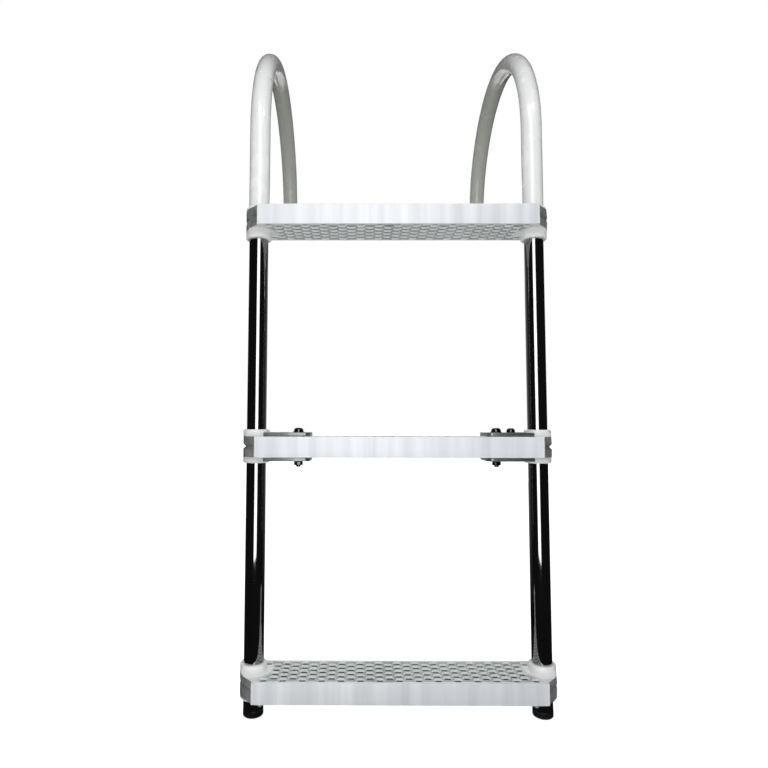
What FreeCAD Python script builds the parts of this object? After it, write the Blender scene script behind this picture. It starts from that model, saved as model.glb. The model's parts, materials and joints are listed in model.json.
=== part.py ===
"""Three-step hook ladder for a dock or a gunwale.

Frame: millimetres, +Z up, +X to the right of someone who faces the steps, +Y towards
the dock. The origin is the middle of the top step's back face, which rests against the
dock's side while the two hooks carry the weight over its edge.
"""
import FreeCAD, Part
import math
import os

import Sketcher

Vector = FreeCAD.Vector
Rotation = FreeCAD.Rotation
Placement = FreeCAD.Placement

doc = FreeCAD.newDocument("hook_ladder")
sheet = doc.addObject("Spreadsheet::Sheet", "Sizes")

# Every driving size, in millimetres: alias, value, what it is.
DRIVING = [
    ("rail_spacing", "368", "between the axes of the two rails"),
    ("rail_od", "25.4", "outside diameter of the rail tube"),
    ("rail_wall", "1.8", "wall of the rail tube"),
    ("slip_fit", "0.1", "radial clearance between a tube and what it passes through"),
    ("tread_pitch", "296", "rise from one step to the next"),
    ("tread_height", "26", "height of a step's rim"),
    ("tread_front", "41", "rail axis to the front face of a step"),
    ("tread_back", "25", "rail axis to the back face of a step"),
    ("corner_round", "3.2", "plan radius of a step's four corners"),
    ("corner_inset", "7", "rail axis to the centre of a corner's round, inwards"),
    ("strip_thick", "1.5", "thickness of the flat front and back strips"),
    ("rim_wall", "2.4", "rim between the cells and the outside of a step"),
    ("cell_column", "11.9", "between two columns of cells"),
    ("cell_row", "12.1", "between two cells of one column"),
    ("cell_web", "2.4", "web left between two cells"),
    ("seam_depth", "3.4", "depth of the V groove round a step's ends"),
    ("collar_wall", "4.2", "wall of the boss round a rail"),
    ("collar_rise", "8.6", "boss above and below the step"),
    ("collar_break", "1.4", "chamfer on the boss's outer edge"),
    ("lobe_radius", "15.8", "front lobe of a boss"),
    ("lobe_reach", "12", "rail axis to the centre of the front lobe, forwards"),
    ("lobe_shift", "2", "rail axis to the centre of the front lobe, inwards"),
    ("bow_radius", "175", "bend radius of a hook, to the tube's axis"),
    ("bow_start", "132", "top step's middle to the start of the bend"),
    ("hook_tail", "18", "straight end of a hook below its bend"),
    ("sleeve_wall", "0.9", "wall of the soft white cover on a hook"),
    ("sleeve_fit", "0.05", "radial clearance under the cover"),
    ("foot_drop", "44", "bottom step's middle to the ground"),
    ("foot_height", "9", "height of a foot plug below the tube"),
    ("foot_round", "2.4", "rounding of a foot plug's lower edge"),
    ("foot_lip", "0.2", "foot plug proud of the tube, all round"),
    ("foot_break", "0.5", "chamfer on a foot plug's upper edge"),
    ("plug_flange", "2.4", "thickness of a hook plug's flange"),
    ("plug_stem", "14", "length of a hook plug's stem"),
    ("plug_hollow", "2.2", "wall of a hook plug's stem"),
    ("plate_thick", "5", "thickness of a stiffener plate"),
    ("plate_reach", "72.5", "rail axis to a plate's inner end"),
    ("plate_depth", "50", "front to back size of a plate"),
    ("plate_round", "7", "corner radius of a plate's inner end"),
    ("plate_fit", "0.2", "clearance between a plate and a boss"),
    ("plate_root", "14", "rail axis to a plate's outer end"),
    ("bolt_inset", "56", "rail axis to the through bolt"),
    ("bolt_size", "6", "diameter of the through bolt"),
    ("bolt_fit", "0.3", "radial clearance of a bolt in its hole"),
    ("head_width", "12.4", "diameter of a bolt's domed head"),
    ("head_height", "4.6", "height of a bolt's domed head"),
    ("washer_width", "14.5", "diameter of a washer"),
    ("washer_thick", "1.2", "thickness of a washer"),
    ("nut_flats", "10", "nut across its flats"),
    ("nut_height", "5", "height of a nut"),
    ("bolt_show", "2.2", "thread that shows past the nut"),
    ("button_inset", "37", "rail axis to the single button pin"),
    ("button_width", "11", "diameter of the button pin's head"),
    ("button_height", "5.6", "height of the button pin's head"),
]

SIZE = {}
for row, (alias, text, note) in enumerate(DRIVING, start=1):
    sheet.set("A%d" % row, note)
    sheet.set("B%d" % row, text)
    sheet.setAlias("B%d" % row, alias)
    SIZE[alias] = float(text)
doc.recompute()

BUILT = []


def keep(obj, label):
    """Names one finished piece of the ladder."""
    obj.Label = label
    BUILT.append(obj)
    return obj


def place(obj, x="0", y="0", z="0"):
    """Binds the position of an object to the sheet."""
    obj.setExpression("Placement.Base.x", x)
    obj.setExpression("Placement.Base.y", y)
    obj.setExpression("Placement.Base.z", z)


def rod(name, radius, height, x, y, z):
    """An upright cylinder whose sizes and place follow the sheet."""
    obj = doc.addObject("Part::Cylinder", name)
    obj.setExpression("Radius", radius)
    obj.setExpression("Height", height)
    place(obj, x, y, z)
    return obj


def bend(name, tube, x, y, z):
    """A half ring that rises from one leg and comes down on the other, towards +Y."""
    obj = doc.addObject("Part::Torus", name)
    obj.setExpression("Radius1", "Sizes.bow_radius")
    obj.setExpression("Radius2", tube)
    obj.Angle3 = 180
    obj.Placement = Placement(Vector(0, 0, 0), Rotation(Vector(1, 1, 1), 120))
    place(obj, x, y, z)
    return obj


def joined(name, pieces):
    """One solid out of pieces that meet end to end."""
    obj = doc.addObject("Part::MultiFuse", name)
    obj.Shapes = pieces
    obj.Refine = True
    return obj


def less(name, base, tool):
    """The base with the tool taken away."""
    obj = doc.addObject("Part::Cut", name)
    obj.Base = base
    obj.Tool = tool
    return obj


RAIL_Y = "-Sizes.tread_back"
TAIL_Y = "2 * Sizes.bow_radius - Sizes.tread_back"
BOW_Y = "Sizes.bow_radius - Sizes.tread_back"
SIDES = (("left", "-"), ("right", ""))
FLOOR = "(-2 * Sizes.tread_pitch - Sizes.foot_drop)"


def cane(name, radius, bottom, x):
    """A walking-stick shape: a straight leg, a half turn and a short tail."""
    leg = rod(name + "_leg", radius, "Sizes.bow_start - (%s)" % bottom, x, RAIL_Y, bottom)
    turn = bend(name + "_turn", radius, x, BOW_Y, "Sizes.bow_start")
    tail = rod(name + "_tail", radius, "Sizes.hook_tail", x, TAIL_Y,
               "Sizes.bow_start - Sizes.hook_tail")
    return joined(name, [leg, turn, tail])


def revolved(name, points, arcs=()):
    """A turned piece: a closed profile in the XZ plane, spun round Z."""
    body = doc.addObject("PartDesign::Body", name)
    sketch = body.newObject("Sketcher::SketchObject", name + "_profile")
    plane = [o for o in body.Origin.OriginFeatures if o.Role == "XZ_Plane"][0]
    sketch.AttachmentSupport = (plane, [""])
    sketch.MapMode = "FlatFace"
    count = len(points)
    for index in range(count):
        a = points[index]
        b = points[(index + 1) % count]
        bulge = dict(arcs).get(index)
        if bulge:
            arc = Part.Arc(Vector(a[0], a[1], 0), Vector(bulge[0], bulge[1], 0), Vector(b[0], b[1], 0))
            sketch.addGeometry(arc, False)
        else:
            sketch.addGeometry(Part.LineSegment(Vector(a[0], a[1], 0), Vector(b[0], b[1], 0)), False)
    turned = body.newObject("PartDesign::Revolution", name + "_spin")
    turned.Profile = sketch
    turned.ReferenceAxis = (sketch, ["V_Axis"])
    turned.Angle = 360
    body.Tip = turned
    return body


# The two rails, each one tube from its foot, up through the steps and over the hook.
for side, sign in SIDES:
    x = sign + "Sizes.rail_spacing / 2"
    bottom = "%s + Sizes.foot_height" % FLOOR
    outer = cane("rail_%s_outer" % side, "Sizes.rail_od / 2", bottom, x)
    inner = cane("rail_%s_bore" % side, "Sizes.rail_od / 2 - Sizes.rail_wall", bottom, x)
    keep(less("rail_%s" % side, outer, inner), "rail_%s" % side)

# The soft white covers, from the top step's collar to the end of each hook.
for side, sign in SIDES:
    x = sign + "Sizes.rail_spacing / 2"
    bottom = "Sizes.tread_height / 2 + Sizes.collar_rise"
    bore = "Sizes.rail_od / 2 + Sizes.sleeve_fit"
    outer = cane("cover_%s_outer" % side, bore + " + Sizes.sleeve_wall", bottom, x)
    inner = cane("cover_%s_bore" % side, bore, bottom, x)
    keep(less("hook_cover_%s" % side, outer, inner), "hook_cover_%s" % side)

# Plugs that close the free ends of the hooks and the lower ends of the rails.
rail_r = SIZE["rail_od"] / 2
bore_r = rail_r - SIZE["rail_wall"] - SIZE["slip_fit"]
cover_r = rail_r + SIZE["sleeve_fit"] + SIZE["sleeve_wall"]
stem_r = bore_r - SIZE["plug_hollow"]
flange = SIZE["plug_flange"]
PLUG = [
    (0, -flange),
    (cover_r - flange * 0.6, -flange),
    (cover_r, -flange * 0.4),
    (cover_r, 0),
    (bore_r, 0),
    (bore_r, SIZE["plug_stem"]),
    (stem_r, SIZE["plug_stem"]),
    (stem_r, flange),
    (0, flange),
]
foot = SIZE["foot_height"]
turn = SIZE["foot_round"]
foot_r = rail_r + SIZE["foot_lip"]
FOOT = [
    (0, 0),
    (foot_r - turn, 0),
    (foot_r, turn),
    (foot_r, foot - SIZE["foot_break"]),
    (foot_r - SIZE["foot_break"], foot),
    (bore_r, foot),
    (bore_r, foot + SIZE["plug_stem"]),
    (stem_r, foot + SIZE["plug_stem"]),
    (stem_r, foot / 2),
    (0, foot / 2),
]
FOOT_ARC = (foot_r - turn * (1 - math.sin(math.pi / 4)), turn * (1 - math.cos(math.pi / 4)))
for side, sign in SIDES:
    x = sign + "Sizes.rail_spacing / 2"
    plug = revolved("hook_plug_%s" % side, PLUG)
    place(plug, x, TAIL_Y, "Sizes.bow_start - Sizes.hook_tail")
    keep(plug, "hook_plug_%s" % side)
    cap = revolved("foot_cap_%s" % side, FOOT, arcs=((1, FOOT_ARC),))
    place(cap, x, RAIL_Y, FLOOR)
    keep(cap, "foot_cap_%s" % side)


# One open tread: a rim that runs in slanted cheeks to a tall boss round each rail, a field
# of flattened six-sided cells, and a V groove at half height round both ends.
front_y = -SIZE["tread_back"] - SIZE["tread_front"] + SIZE["strip_thick"]
back_y = -SIZE["strip_thick"]
mid_y = -(SIZE["tread_back"] + SIZE["tread_front"]) / 2
rail_y = -SIZE["tread_back"]
rail_x = SIZE["rail_spacing"] / 2
boss_r = rail_r + SIZE["slip_fit"] + SIZE["collar_wall"]
corner_r = SIZE["corner_round"]
corner_x = rail_x - SIZE["corner_inset"]


def boss(sign, grow=0):
    """The two circles a boss is drawn round, front lobe and rail: centre and radius."""
    lobe = Vector(sign * (rail_x - SIZE["lobe_shift"]), rail_y - SIZE["lobe_reach"], 0)
    rail = Vector(sign * rail_x, rail_y, 0)
    return [(lobe, SIZE["lobe_radius"] + grow), (rail, boss_r + grow)]


def tangents(rounds):
    """The outer tangent from each circle to the next, counter-clockwise: start, end, normal."""
    found = []
    for index in range(len(rounds)):
        a, a_radius = rounds[index]
        b, b_radius = rounds[(index + 1) % len(rounds)]
        span = b - a
        lean = (a_radius - b_radius) / span.Length
        ahead = span.normalize()
        right = Vector(ahead.y, -ahead.x, 0)
        normal = ahead * lean + right * math.sqrt(1 - lean ** 2)
        found.append((a + normal * a_radius, b + normal * b_radius, normal))
    return found


def wrapped(rounds):
    """A closed outline pulled tight round circles, as tangent lines and arcs."""
    lines = tangents(rounds)
    edges = []
    for index, (start, end, normal) in enumerate(lines):
        follow = lines[(index + 1) % len(lines)]
        centre, radius = rounds[(index + 1) % len(rounds)]
        middle = normal + follow[2]
        if len(rounds) == 2:
            middle = centre - rounds[index][0]
        middle = middle.normalize()
        edges.append(Part.LineSegment(start, end))
        edges.append(Part.Arc(end, centre + middle * radius, follow[0]))
    return edges


def outline():
    """The circles a step's rim is drawn round, counter-clockwise from the front's right end."""
    low = Vector(corner_x, front_y + corner_r, 0)
    high = Vector(corner_x, back_y - corner_r, 0)
    right = [(low, corner_r)] + boss(1) + [(high, corner_r)]
    left = [(Vector(-spot.x, spot.y, 0), radius) for spot, radius in reversed(right)]
    return right + left


def clearance(x, y):
    """How far a point lies inside the rim, and how far outside the nearer boss."""
    rounds = outline()
    within = 1e9
    for start, end, normal in tangents(rounds):
        within = min(within, -(Vector(x, y, 0) - start).dot(normal))
    (lobe, lobe_r), (rail, rail_boss_r) = boss(1)
    away = 1e9
    for step in range(9):
        share = step / 8
        spot = lobe + (rail - lobe) * share
        radius = lobe_r + (rail_boss_r - lobe_r) * share
        away = min(away, math.hypot(abs(x) - spot.x, y - spot.y) - radius)
    return within, away


def cells():
    """The corners of every cell, in columns that run front to back, every other one shifted."""
    column = SIZE["cell_column"]
    row = SIZE["cell_row"]
    web = SIZE["cell_web"]
    slant = math.hypot(column / 3, row / 2)
    lean_x = row / 2 / slant
    lean_y = column / 3 / slant
    reach = lean_x * 2 * column / 3 - web / 2
    half = (row - web) / 2
    side = reach / lean_x
    flat = (reach - lean_y * half) / lean_x
    shape = [(side, 0), (flat, half), (-flat, half), (-side, 0), (-flat, -half), (flat, -half)]
    columns = int(rail_x / column) + 1
    rows = int((back_y - front_y) / row) + 2
    found = []
    for i in range(-columns, columns + 1):
        shift = 0.5 if i % 2 else 0.0
        for j in range(-rows, rows + 1):
            ring = [(i * column + a, mid_y + (j + shift) * row + b) for a, b in shape]
            spans = [clearance(x, y) for x, y in ring]
            within = min(span[0] for span in spans)
            away = min(span[1] for span in spans)
            if within > SIZE["rim_wall"] - 0.1 and away > web / 4:
                found.append(ring)
    return found


CELLS = cells()


def tread_body(name):
    """One step as a padded body: rim, bosses, cells and rail holes."""
    body = doc.addObject("PartDesign::Body", name)
    plane = [o for o in body.Origin.OriginFeatures if o.Role == "XY_Plane"][0]

    def sketch(suffix, edges):
        obj = body.newObject("Sketcher::SketchObject", name + suffix)
        obj.AttachmentSupport = (plane, [""])
        obj.MapMode = "FlatFace"
        for edge in edges:
            obj.addGeometry(edge, False)
        doc.recompute()
        return obj

    slab = body.newObject("PartDesign::Pad", name + "_slab")
    slab.Profile = sketch("_rim", wrapped(outline()))
    slab.setExpression("Length", "Sizes.tread_height")
    slab.Midplane = True
    doc.recompute()
    raised = body.newObject("PartDesign::Pad", name + "_bosses")
    raised.Profile = sketch("_boss_rim", wrapped(boss(1)) + wrapped(boss(-1)))
    raised.Midplane = True
    raised.setExpression("Length", "Sizes.tread_height + 2 * Sizes.collar_rise")
    doc.recompute()
    rims = []
    top = SIZE["tread_height"] / 2 + SIZE["collar_rise"]
    for number, edge in enumerate(raised.Shape.Edges, start=1):
        box = edge.BoundBox
        if abs(abs(box.ZMin) - top) < 0.01 and abs(box.ZMax - box.ZMin) < 0.01:
            rims.append("Edge%d" % number)
    broken = body.newObject("PartDesign::Chamfer", name + "_break")
    broken.Base = (raised, rims)
    broken.setExpression("Size", "Sizes.collar_break")
    doc.recompute()
    field = []
    for ring in CELLS:
        for corner in range(6):
            a = ring[corner]
            b = ring[(corner + 1) % 6]
            field.append(Part.LineSegment(Vector(a[0], a[1], 0), Vector(b[0], b[1], 0)))
    opened = body.newObject("PartDesign::Pocket", name + "_cells")
    opened.Profile = sketch("_field", field)
    opened.Midplane = True
    opened.setExpression("Length", "2 * Sizes.tread_height")
    doc.recompute()
    holes = []
    for sign in (-1, 1):
        holes.append(Part.Circle(Vector(sign * rail_x, rail_y, 0), Vector(0, 0, 1), rail_r + SIZE["slip_fit"]))
    bored = body.newObject("PartDesign::Pocket", name + "_bores")
    bored.Profile = sketch("_holes", holes)
    bored.Midplane = True
    bored.setExpression("Length", "2 * Sizes.tread_height + 2 * Sizes.collar_rise")
    body.Tip = bored
    doc.recompute()
    return body


def seam():
    """The V-shaped tool that runs round both ends of a step at half height."""
    lines = tangents(outline())[:3]
    rounds = outline()
    run_out = 9
    first = lines[0]
    last = lines[2]
    start = first[0] - (first[1] - first[0]).normalize() * run_out
    end = last[1] + (last[1] - last[0]).normalize() * run_out
    path = doc.addObject("Sketcher::SketchObject", "seam_path")
    spots = [(start, first[1], first[2]), lines[1], (last[0], end, last[2])]
    for index, (a, b, normal) in enumerate(spots):
        path.addGeometry(Part.LineSegment(a, b), False)
        if index < 2:
            centre, radius = rounds[index + 1]
            middle = (normal + spots[index + 1][2]).normalize()
            path.addGeometry(Part.Arc(b, centre + middle * radius, spots[index + 1][0]), False)
    notch = doc.addObject("Sketcher::SketchObject", "seam_notch")
    deep = SIZE["seam_depth"]
    over = 0.5
    corners = [(-deep, 0), (over, deep + over), (over, -deep - over)]
    for index in range(3):
        a = corners[index]
        b = corners[(index + 1) % 3]
        notch.addGeometry(Part.LineSegment(Vector(a[0], a[1], 0), Vector(b[0], b[1], 0)), False)
    turn_z = math.degrees(math.atan2(first[2].y, first[2].x))
    upright = Rotation(Vector(0, 0, 1), turn_z).multiply(Rotation(Vector(1, 0, 0), 90))
    notch.Placement = Placement(start, upright)
    right = doc.addObject("Part::Sweep", "seam_right")
    right.Sections = [notch]
    right.Spine = (path, ["Edge%d" % (n + 1) for n in range(5)])
    right.Solid = True
    doc.recompute()
    left = doc.addObject("Part::Mirroring", "seam_left")
    left.Source = right
    left.Normal = Vector(1, 0, 0)
    both = doc.addObject("Part::MultiFuse", "seam")
    both.Shapes = [right, left]
    doc.recompute()
    return both


LEVELS = (("top", "0"), ("middle", "-Sizes.tread_pitch"), ("bottom", "-2 * Sizes.tread_pitch"))
MID_Y = "(-(Sizes.tread_back + Sizes.tread_front) / 2)"
first = less("tread_top", tread_body("tread_blank"), seam())
doc.recompute()
keep(first, "tread_top")
for level, z in LEVELS[1:]:
    copy = doc.addObject("Part::Feature", "tread_copy_" + level)
    copy.Shape = first.Shape.copy()
    place(copy, "0", "0", z)
    if level == "middle":
        pair = []
        for side, sign in SIDES:
            pair.append(rod("tread_hole_" + side, "Sizes.bolt_size / 2 + Sizes.bolt_fit",
                            "2 * Sizes.tread_height", "%s(Sizes.rail_spacing / 2 - Sizes.bolt_inset)" % sign,
                            MID_Y, z + " - Sizes.tread_height"))
        copy = less("tread_drilled", copy, joined("tread_holes", pair))
        doc.recompute()
    keep(copy, "tread_" + level)


def strip_edges(face):
    """A flat strip bent round the step's corners: front (-1) or back (1), counter-clockwise."""
    lines = tangents(outline())
    normal = lines[0][2] if face < 0 else lines[2][2]
    flat_y = front_y if face < 0 else back_y
    thick = SIZE["strip_thick"]
    level = Vector(0, face, 0)
    middle = (normal + level).normalize()
    centre = Vector(corner_x, flat_y - face * corner_r, 0)

    def ends(radius):
        return centre + level * radius, centre + middle * radius, centre + normal * radius

    def flip(spot):
        return Vector(-spot.x, spot.y, 0)

    outer = ends(corner_r + thick)
    inner = ends(corner_r)
    return [
        Part.LineSegment(flip(outer[0]), outer[0]),
        Part.Arc(outer[0], outer[1], outer[2]),
        Part.LineSegment(outer[2], inner[2]),
        Part.Arc(inner[2], inner[1], inner[0]),
        Part.LineSegment(inner[0], flip(inner[0])),
        Part.Arc(flip(inner[0]), flip(inner[1]), flip(inner[2])),
        Part.LineSegment(flip(inner[2]), flip(outer[2])),
        Part.Arc(flip(outer[2]), flip(outer[1]), flip(outer[0])),
    ]


# The flat strips that close the front and the back of each step, bent round its corners.
for level, z in LEVELS:
    for face, way in (("front", -1), ("back", 1)):
        name = "%s_strip_%s" % (face, level)
        strip = doc.addObject("PartDesign::Body", name)
        profile = strip.newObject("Sketcher::SketchObject", name + "_profile")
        plane = [o for o in strip.Origin.OriginFeatures if o.Role == "XY_Plane"][0]
        profile.AttachmentSupport = (plane, [""])
        profile.MapMode = "FlatFace"
        for edge in strip_edges(way):
            profile.addGeometry(edge, False)
        doc.recompute()
        pad = strip.newObject("PartDesign::Pad", name + "_pad")
        pad.Profile = profile
        pad.Midplane = True
        pad.setExpression("Length", "Sizes.tread_height")
        strip.Tip = pad
        place(strip, "0", "0", z)
        doc.recompute()
        keep(strip, name)

# Stiffener plates above and below the middle step, beside each collar.
PLATE_LENGTH = "(Sizes.plate_reach - Sizes.plate_root)"
for side, sign in SIDES:
    for level, z in (("upper", "-Sizes.tread_pitch + Sizes.tread_height / 2"),
                     ("lower", "-Sizes.tread_pitch - Sizes.tread_height / 2 - Sizes.plate_thick")):
        name = "plate_%s_%s" % (level, side)
        blank = doc.addObject("Part::Box", name + "_blank")
        blank.setExpression("Length", PLATE_LENGTH)
        blank.setExpression("Width", "Sizes.plate_depth")
        blank.setExpression("Height", "Sizes.plate_thick")
        x = "Sizes.rail_spacing / 2 - Sizes.plate_reach"
        if sign:
            x = "-(Sizes.rail_spacing / 2 - Sizes.plate_root)"
        place(blank, x, "%s - Sizes.plate_depth / 2" % MID_Y, z)
        doc.recompute()
        inner_x = -1 if sign == "" else 1
        uprights = []
        for number, edge in enumerate(blank.Shape.Edges, start=1):
            box = edge.BoundBox
            tall = box.ZLength > 0.5 * SIZE["plate_thick"] and box.XLength < 0.01 and box.YLength < 0.01
            end = blank.Shape.BoundBox.XMin if inner_x < 0 else blank.Shape.BoundBox.XMax
            if tall and abs(box.XMin - end) < 0.01:
                uprights.append((number, SIZE["plate_round"], SIZE["plate_round"]))
        eased = doc.addObject("Part::Fillet", name + "_eased")
        eased.Base = blank
        eased.Edges = uprights
        seat = doc.addObject("PartDesign::Body", name + "_seat")
        around = seat.newObject("Sketcher::SketchObject", name + "_seat_rim")
        plane = [o for o in seat.Origin.OriginFeatures if o.Role == "XY_Plane"][0]
        around.AttachmentSupport = (plane, [""])
        around.MapMode = "FlatFace"
        for line in wrapped(boss(-1 if sign else 1, SIZE["plate_fit"])):
            around.addGeometry(line, False)
        doc.recompute()
        block = seat.newObject("PartDesign::Pad", name + "_seat_pad")
        block.Profile = around
        block.Midplane = True
        block.setExpression("Length", "4 * Sizes.plate_thick")
        seat.Tip = block
        place(seat, "0", "0", z)
        doc.recompute()
        tools = [seat]
        tools.append(rod(name + "_hole", "Sizes.bolt_size / 2 + Sizes.bolt_fit", "3 * Sizes.plate_thick",
                         "%s(Sizes.rail_spacing / 2 - Sizes.bolt_inset)" % sign, MID_Y,
                         z + " - Sizes.plate_thick"))
        if level == "upper" and side == "right":
            tools.append(rod(name + "_pin_hole", "Sizes.bolt_size / 2 + Sizes.bolt_fit / 3",
                             "3 * Sizes.plate_thick",
                             "Sizes.rail_spacing / 2 - Sizes.button_inset", MID_Y,
                             z + " - Sizes.plate_thick"))
        gang = doc.addObject("Part::MultiFuse", name + "_tools")
        gang.Shapes = tools
        keep(less(name, eased, gang), name)


# The through bolts with their washers and nuts.
def dome(width, height):
    """A domed head that stands on z = 0: radius, straight edge, flat crown, arc's middle."""
    edge = height * 0.3
    radius = width / 2
    crown = radius * 0.22
    bulge = (radius * 0.8, height * 0.78)
    return radius, edge, crown, bulge


half_stack = SIZE["tread_height"] / 2 + SIZE["plate_thick"]
radius, edge, crown, bulge = dome(SIZE["head_width"], SIZE["head_height"])
shank = SIZE["bolt_size"] / 2
length = 2 * half_stack + 2 * SIZE["washer_thick"] + SIZE["nut_height"] + SIZE["bolt_show"]
tip = SIZE["bolt_size"] * 0.12
BOLT = [
    (0, -length),
    (shank - tip, -length),
    (shank, -length + tip),
    (shank, 0),
    (radius, 0),
    (radius, edge),
    (crown, SIZE["head_height"]),
    (0, SIZE["head_height"]),
]
button_r, button_edge, button_crown, button_bulge = dome(SIZE["button_width"], SIZE["button_height"])
BUTTON = [
    (0, -SIZE["plate_thick"]),
    (shank, -SIZE["plate_thick"]),
    (shank, 0),
    (button_r, 0),
    (button_r, button_edge),
    (button_crown, SIZE["button_height"]),
    (0, SIZE["button_height"]),
]
STACK_TOP = "-Sizes.tread_pitch + Sizes.tread_height / 2 + Sizes.plate_thick"
STACK_FOOT = "-Sizes.tread_pitch - Sizes.tread_height / 2 - Sizes.plate_thick"
for side, sign in SIDES:
    x = "%s(Sizes.rail_spacing / 2 - Sizes.bolt_inset)" % sign
    bolt = revolved("bolt_%s" % side, BOLT, arcs=((5, bulge),))
    place(bolt, x, MID_Y, STACK_TOP + " + Sizes.washer_thick")
    keep(bolt, "bolt_%s" % side)
    for level, z in (("upper", STACK_TOP), ("lower", STACK_FOOT + " - Sizes.washer_thick")):
        name = "washer_%s_%s" % (level, side)
        disc = rod(name + "_disc", "Sizes.washer_width / 2", "Sizes.washer_thick", x, MID_Y, z)
        eye = rod(name + "_eye", "Sizes.bolt_size / 2 + Sizes.bolt_fit", "3 * Sizes.washer_thick",
                  x, MID_Y, z + " - Sizes.washer_thick")
        keep(less(name, disc, eye), name)
    name = "nut_%s" % side
    hexagon = doc.addObject("Part::Prism", name + "_hexagon")
    hexagon.Polygon = 6
    hexagon.setExpression("Circumradius", "Sizes.nut_flats / sqrt(3)")
    hexagon.setExpression("Height", "Sizes.nut_height")
    nut_z = STACK_FOOT + " - Sizes.washer_thick - Sizes.nut_height"
    place(hexagon, x, MID_Y, nut_z)
    thread = rod(name + "_thread", "Sizes.bolt_size / 2 + Sizes.slip_fit", "3 * Sizes.nut_height",
                 x, MID_Y, nut_z + " - Sizes.nut_height")
    keep(less(name, hexagon, thread), name)
button = revolved("button_pin_right", BUTTON, arcs=((4, button_bulge),))
place(button, "Sizes.rail_spacing / 2 - Sizes.button_inset", MID_Y, STACK_TOP)
keep(button, "button_pin_right")

doc.recompute()

for obj in doc.Objects:
    for state in obj.State:
        if state in ("Invalid", "Error"):
            raise RuntimeError("%s failed: %s" % (obj.Name, obj.State))
for obj in BUILT:
    shape = obj.Shape
    if shape.isNull() or not shape.isValid():
        raise RuntimeError("%s has no valid shape" % obj.Label)
    if len(shape.Solids) != 1:
        raise RuntimeError("%s has %d solids" % (obj.Label, len(shape.Solids)))

os.makedirs("parts", exist_ok=True)
for obj in BUILT:
    obj.Shape.exportStep("parts/%s.step" % obj.Label)
    box = obj.Shape.BoundBox
    print("%-20s volume %10.1f  x %8.2f %8.2f  y %8.2f %8.2f  z %8.2f %8.2f" % (
        obj.Label, obj.Shape.Volume, box.XMin, box.XMax, box.YMin, box.YMax, box.ZMin, box.ZMax))
print("cells in a tread:", len(CELLS))
print("pieces:", len(BUILT))
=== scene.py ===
"""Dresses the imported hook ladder: polished rails, white hook covers and open metal steps."""
from __future__ import annotations

import json
import logging
import math
from dataclasses import dataclass
from enum import Enum, IntEnum

import bmesh
import bpy
from mathutils import Matrix, Vector

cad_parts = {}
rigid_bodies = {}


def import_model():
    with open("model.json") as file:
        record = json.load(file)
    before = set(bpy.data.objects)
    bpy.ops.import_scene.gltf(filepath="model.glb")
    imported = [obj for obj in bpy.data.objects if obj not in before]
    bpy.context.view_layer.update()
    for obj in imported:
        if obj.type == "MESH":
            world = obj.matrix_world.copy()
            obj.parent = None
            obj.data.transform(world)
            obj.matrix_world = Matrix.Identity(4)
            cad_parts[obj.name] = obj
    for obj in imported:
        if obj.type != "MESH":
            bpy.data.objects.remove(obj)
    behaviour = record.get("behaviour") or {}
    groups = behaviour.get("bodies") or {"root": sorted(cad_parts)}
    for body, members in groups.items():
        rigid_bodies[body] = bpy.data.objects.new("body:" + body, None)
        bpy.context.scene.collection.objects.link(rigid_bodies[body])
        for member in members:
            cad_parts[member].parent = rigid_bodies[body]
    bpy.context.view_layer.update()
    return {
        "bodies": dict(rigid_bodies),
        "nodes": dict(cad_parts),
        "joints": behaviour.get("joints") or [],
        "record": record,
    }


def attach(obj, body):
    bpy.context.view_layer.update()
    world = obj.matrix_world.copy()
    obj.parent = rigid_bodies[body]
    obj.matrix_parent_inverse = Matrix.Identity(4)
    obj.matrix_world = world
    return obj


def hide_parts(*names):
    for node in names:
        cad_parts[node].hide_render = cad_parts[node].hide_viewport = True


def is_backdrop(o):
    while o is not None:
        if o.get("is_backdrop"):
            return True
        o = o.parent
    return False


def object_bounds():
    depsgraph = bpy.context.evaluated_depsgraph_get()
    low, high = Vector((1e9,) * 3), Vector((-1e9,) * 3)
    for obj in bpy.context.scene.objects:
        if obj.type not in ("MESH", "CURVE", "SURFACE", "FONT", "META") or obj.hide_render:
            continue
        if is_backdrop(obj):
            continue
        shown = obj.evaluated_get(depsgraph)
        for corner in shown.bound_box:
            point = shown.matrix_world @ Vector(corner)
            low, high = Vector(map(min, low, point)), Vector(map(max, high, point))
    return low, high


LOG = logging.getLogger("hook_ladder")
MM = 0.001
ROOT = "root"
SENSOR_MM = 36.0
WHITE = (1.0, 1.0, 1.0, 1.0)

# Where the ladder's parts stand, in metres in its own frame
PITCH = 296.0 * MM
HALF_RIM = 13.0 * MM
RAIL_X = 184.0 * MM
RAIL_Y = -25.0 * MM
DECK_Y = -33.0 * MM

# Where a finish and its painted shade change, in metres
# The painted shade on the hook covers, from front to back
REAR_SHADE_SPAN = (-20.0 * MM, 100.0 * MM)
# The painted dark reflection on a step's web tops
WEB_RIM_SPAN = (28.2 * MM, 29.0 * MM)
WEB_BOSS_SPAN = (24.0 * MM, 30.0 * MM)
WEB_END_SPAN = (-22.0 * MM, -10.0 * MM)
# The painted shade inside a step's cells, by depth under its faces
CELL_SHADE_SPAN = (9.7 * MM, 10.5 * MM)

# How strongly a finish changes, as ranges and shares without a unit
# How much of the painted dark reflection is left at a step's ends
WEB_END_SHARE = 0.15
WORN_SPAN = (0.515, 0.58)
BROKEN_SPAN = (0.35, 0.65)
BLOTCH_SPAN = (0.3, 0.7)
COAT_ROUGHNESS = 0.12

# How near two points, or a point and a cut, have to be for a mesh to join them, in metres
WELD = 0.02 * MM
CUT_NEAR = 0.0001 * MM

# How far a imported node's triangles may turn and still merge into one flat face
FLAT_DEGREES = 0.5

Colour = tuple[float, float, float]
Point = tuple[float, float, float]


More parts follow.
